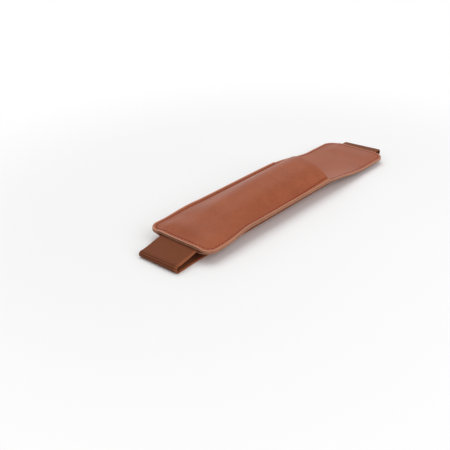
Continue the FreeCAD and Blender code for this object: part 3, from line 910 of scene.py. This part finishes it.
def paintCutEdge(tree, grain, colour):
    cut = readAttribute(tree, "cutEdge")
    tone = mapRange(tree, grain.outputs["Mottle"], *leather["rawTones"])
    raw = mixColour(tree, tone, leather["edgeDeep"], leather["edgeTan"])
    # the rounded corner gets the burnished colour together with a painted highlight
    colour = mixColour(tree, mapRange(tree, cut, *leather["cornerRubAndHighlightCut"]), colour, leather["edgeBurnishAndHighlight"])
    return mixColour(tree, mapRange(tree, cut, *leather["rawCut"]), colour, raw)


def makeGrainLeather():
    material, tree, surface = newMaterial("tan_leather")
    grain = addNode(tree, "ShaderNodeGroup", node_tree=leatherGrain)
    tone = mapRange(tree, grain.outputs["Mottle"], *leather["dyeTones"])
    colour = mixColour(tree, tone, leather["dyeDeep"], leather["dyeWarm"])
    colour = mixColour(tree, leather["evenness"], colour, leather["dye"])
    pores = mathNode(tree, "MULTIPLY", grain.outputs["Pores"], leather["poreShade"])
    colour = mixColour(tree, pores, colour, leather["dyeDeep"])
    edge = readAttribute(tree, "edgeDistance")
    offset = mathNode(tree, "ABSOLUTE", mathNode(tree, "SUBTRACT", edge, form["seamMargin"]))
    across = axesOf(tree, objectPlace(tree))["Y"]
    # painted shade along the stitch groove and a painted highlight on the rubbed rim, both stronger on the
    # left
    for line, fade, share, paint in ((offset, "grooveShadeFade", "grooveShadeShare", "grooveShadeRed"),
                                     (edge, "rimRubAndHighlightFade", "rimRubAndHighlightShare", "edgeBurnishAndHighlight")):
        strength = mapRange(tree, across, *leather["rightToLeft"], *leather[share])
        near = mapRange(tree, line, *leather[fade], 1.0, 0.0)
        colour = mixColour(tree, mathNode(tree, "MULTIPLY", near, strength), colour, leather[paint])
    colour = paintCutEdge(tree, grain, colour)
    smoothest = leather["roughness"] - leather["unevenness"]
    roughest = leather["roughness"] + leather["unevenness"]
    roughness = mapRange(tree, grain.outputs["Mottle"], *leather["roughTones"], smoothest, roughest)
    dressSurface(tree, surface, leather, colour, roughness, grain.outputs["Height"])
    return material


def makeFleshLeather():
    material, tree, surface = newMaterial("leather_inside")
    grain = addNode(tree, "ShaderNodeGroup", node_tree=leatherGrain)
    grain.inputs["Grain Size"].default_value = flesh["grainSize"]
    tone = mapRange(tree, grain.outputs["Mottle"], *flesh["tones"])
    colour = paintCutEdge(tree, grain, mixColour(tree, tone, flesh["deep"], flesh["tan"]))
    dressSurface(tree, surface, flesh, colour, flesh["roughness"], grain.outputs["Mottle"])
    return material


tanLeather = makeGrainLeather()
fleshLeather = makeFleshLeather()
print("leather made")

# Woven elastic: yarns across the ribs, slightly paler selvages, painted shade in the rib grooves
weave = {
    "yarn": srgb(129, 72, 44),
    "yarnDeep": srgb(96, 50, 28),
    "selvage": srgb(156, 90, 56),
    # painted shade in the rib grooves
    "groove": srgb(58, 24, 12),
    "yarnWidth": 0.36 * mm,
    "yarnDepth": 0.5,
    "weftDepth": 0.35,
    "fuzzScale": 1500.0,
    "fuzzDepth": 0.6,
    "tones": (-0.7, 0.9),
    "selvageRun": (1.4 * mm, 0.3 * mm),   # from the band's edge
    "selvageShare": 0.7,
    "grooveShadeShare": 0.6,
    "sheen": 0.04,
    "sheenRoughness": 0.5,
    "roughness": 0.8,
    "specular": 0.15,
    "bump": 0.5,
    "depth": 0.08 * mm,
}


def makeElastic():
    material, tree, surface = newMaterial("woven_elastic")
    across = axesOf(tree, objectPlace(tree))["Y"]
    run = readAttribute(tree, "runLength")
    acrossTurn = mathNode(tree, "MULTIPLY", across, 2.0 * math.pi / weave["yarnWidth"])
    runTurn = mathNode(tree, "MULTIPLY", run, 2.0 * math.pi / elastic["ribPitch"])
    warp = mathNode(tree, "SINE", acrossTurn)
    weft = mathNode(tree, "SINE", runTurn)
    cross = mathNode(tree, "SINE", mathNode(tree, "MULTIPLY", runTurn, 2.0))
    over = mathNode(tree, "MULTIPLY", warp, cross)
    fuzz = noiseNode(tree, objectPlace(tree), weave["fuzzScale"], 3.0)["Fac"]
    height = mathNode(tree, "ADD", mathNode(tree, "MULTIPLY", over, weave["yarnDepth"]),
                      mathNode(tree, "MULTIPLY", weft, weave["weftDepth"]))
    height = mathNode(tree, "ADD", height, mathNode(tree, "MULTIPLY", fuzz, weave["fuzzDepth"]))
    tone = mapRange(tree, height, *weave["tones"])
    colour = mixColour(tree, tone, weave["yarnDeep"], weave["yarn"])
    fromMiddle = mathNode(tree, "ABSOLUTE", mathNode(tree, "SUBTRACT", across, bandMiddle))
    selvageStart, selvageEnd = [bandHalf - inset for inset in weave["selvageRun"]]
    side = mapRange(tree, fromMiddle, selvageStart, selvageEnd, 0.0, weave["selvageShare"])
    colour = mixColour(tree, side, colour, weave["selvage"])
    # painted shade in the rib grooves, deepest on the folds
    dip = mapRange(tree, readAttribute(tree, "ribShade"), 0.0, 1.0, 0.0, weave["grooveShadeShare"], smooth=False)
    colour = mixColour(tree, dip, colour, weave["groove"])
    surface.inputs["Sheen Weight"].default_value = weave["sheen"]
    surface.inputs["Sheen Roughness"].default_value = weave["sheenRoughness"]
    dressSurface(tree, surface, weave, colour, weave["roughness"], height)
    return material


# Waxed thread: two plies twisted together
thread = {
    "red": srgb(136, 55, 32),
    "redDeep": srgb(96, 36, 20),
    "plies": 2.0,
    "twists": 3.0,
    "tones": (-0.9, 0.5),
    "roughness": 0.75,
    "specular": 0.06,
    "bump": 0.6,
    "depth": 0.06 * mm,
}


def makeThread():
    material, tree, surface = newMaterial("waxed_thread")
    along = mathNode(tree, "MULTIPLY", readAttribute(tree, "strandAlong"), thread["twists"])
    around = mathNode(tree, "MULTIPLY", readAttribute(tree, "strandAround"), thread["plies"])
    turn = mathNode(tree, "MULTIPLY", mathNode(tree, "ADD", along, around), 2.0 * math.pi)
    ply = mathNode(tree, "SINE", turn)
    colour = mixColour(tree, mapRange(tree, ply, *thread["tones"]), thread["redDeep"], thread["red"])
    dressSurface(tree, surface, thread, colour, thread["roughness"], ply)
    return material


wovenElastic = makeElastic()
waxedThread = makeThread()
print("elastic and thread materials made")

# Dress the panels and sew them
panels = ((backingPanel, "backing_panel"), (backPanel, "back_panel"), (frontPanel, "front_panel"))
for panel, node in panels:
    panel.data.materials.append(tanLeather)
    panel.data.materials.append(fleshLeather)
    if panel is not backingPanel:
        for face in panel["underside"]:
            panel.data.polygons[face].material_index = 1
    del panel["underside"]
    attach(panel, "sleeve")
    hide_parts(node)

stitchRow = stitchTree()
runs = [
    ("pocket_stitches", placeFront, 0.0,
     lambda along: along < pocketLength - seam["mouthGap"], False, "needle_thread"),
    ("flap_stitches", placeBack, 0.0,
     lambda along: along > pocketLength + seam["mouthGap"], False, "needle_thread"),
    ("underside_stitches", placeBacking, 1.0, lambda along: True, True, "bobbin_thread"),
]
for name, place, share, keep, closed, node in runs:
    stitches = seamLine(name, place, share, keep, closed)
    addModifierTree(stitches, stitchRow, {"Material": waxedThread})
    plainMesh(stitches)
    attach(stitches, "sleeve")
    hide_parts(node)
    print(name, len(stitches.data.polygons), "faces")

strip = bandPath()
addModifierTree(strip, ribbedBandTree(), {"Material": wovenElastic})
plainMesh(strip)
settleBand(strip)
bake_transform(strip)
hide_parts("elastic_lower_tail", "elastic_lower_turn", "elastic_back_run",
            "elastic_upper_turn", "elastic_upper_tail")
print("elastic strip:", len(strip.data.polygons), "faces")

# Stage: pale floor that fades to white, soft lights from above, from the side and from behind
stage = {
    "size": 3.0,
    "level": -0.02 * mm,
    "grey": srgb(250, 250, 250),
    "white": (1.0, 1.0, 1.0, 1.0),
    "fade": (0.1, 0.28),       # metres from the middle
}


def seenStraight(tree):   # 1 where the camera or a reflection looks at it, 0 where it only lights
    rays = tree.nodes.new("ShaderNodeLightPath").outputs
    seen = mathNode(tree, "MAXIMUM", rays["Is Camera Ray"], rays["Is Glossy Ray"])
    return mathNode(tree, "MAXIMUM", seen, rays["Is Transmission Ray"])


def makeFloor():
    half = stage["size"] / 2
    corners = [(-half, -half), (half, -half), (half, half), (-half, half)]
    floor = newPiece("floor", [(x, y, stage["level"]) for x, y in corners], [(0, 1, 2, 3)])
    material = bpy.data.materials.new("pale_floor")
    material.use_nodes = True
    tree = material.node_tree
    tree.nodes.clear()
    output = tree.nodes.new("ShaderNodeOutputMaterial")
    matte = addNode(tree, "ShaderNodeBsdfDiffuse", {"Color": stage["grey"]})
    glow = addNode(tree, "ShaderNodeEmission", {"Color": stage["white"], "Strength": 1.0})
    place = addNode(tree, "ShaderNodeVectorMath", {0: objectPlace(tree)}, operation="LENGTH")
    far = mapRange(tree, place.outputs["Value"], *stage["fade"])
    mixed = addNode(tree, "ShaderNodeMixShader", {
        0: mathNode(tree, "MULTIPLY", far, seenStraight(tree)), 1: matte.outputs[0], 2: glow.outputs[0]})
    tree.links.new(mixed.outputs[0], output.inputs["Surface"])
    floor.data.materials.append(material)


skyLevel = 0.5
lights = {
    "top": {"place": (0.05, 0.17, 0.74), "size": 0.7, "power": 2.4},
    "side": {"place": (-0.1, -0.6, 0.4), "size": 0.6, "power": 1.8},
    "behind": {"place": (0.62, 0.58, 0.19), "size": 0.62, "power": 0.52},
}


def addLight(name, spec):
    data = bpy.data.lights.new(name, "AREA")
    data.shape = "SQUARE"
    data.size = spec["size"]
    data.energy = spec["power"]
    lamp = bpy.data.objects.new(name, data)
    lamp.location = spec["place"]
    lamp.rotation_euler = (-Vector(spec["place"])).to_track_quat("-Z", "Y").to_euler()
    scene.collection.objects.link(lamp)


def makeSky():
    world = bpy.data.worlds.new("studio")
    scene.world = world
    world.use_nodes = True
    tree = world.node_tree
    tree.nodes.clear()
    output = tree.nodes.new("ShaderNodeOutputWorld")
    soft = addNode(tree, "ShaderNodeBackground", {"Color": stage["white"], "Strength": skyLevel})
    white = addNode(tree, "ShaderNodeBackground", {"Color": stage["white"], "Strength": 1.0})
    mixed = addNode(tree, "ShaderNodeMixShader", {
        0: seenStraight(tree), 1: soft.outputs[0], 2: white.outputs[0]})
    tree.links.new(mixed.outputs[0], output.inputs["Surface"])


makeFloor()
makeSky()
for light, spec in lights.items():
    addLight(light, spec)
print("stage and lights set")
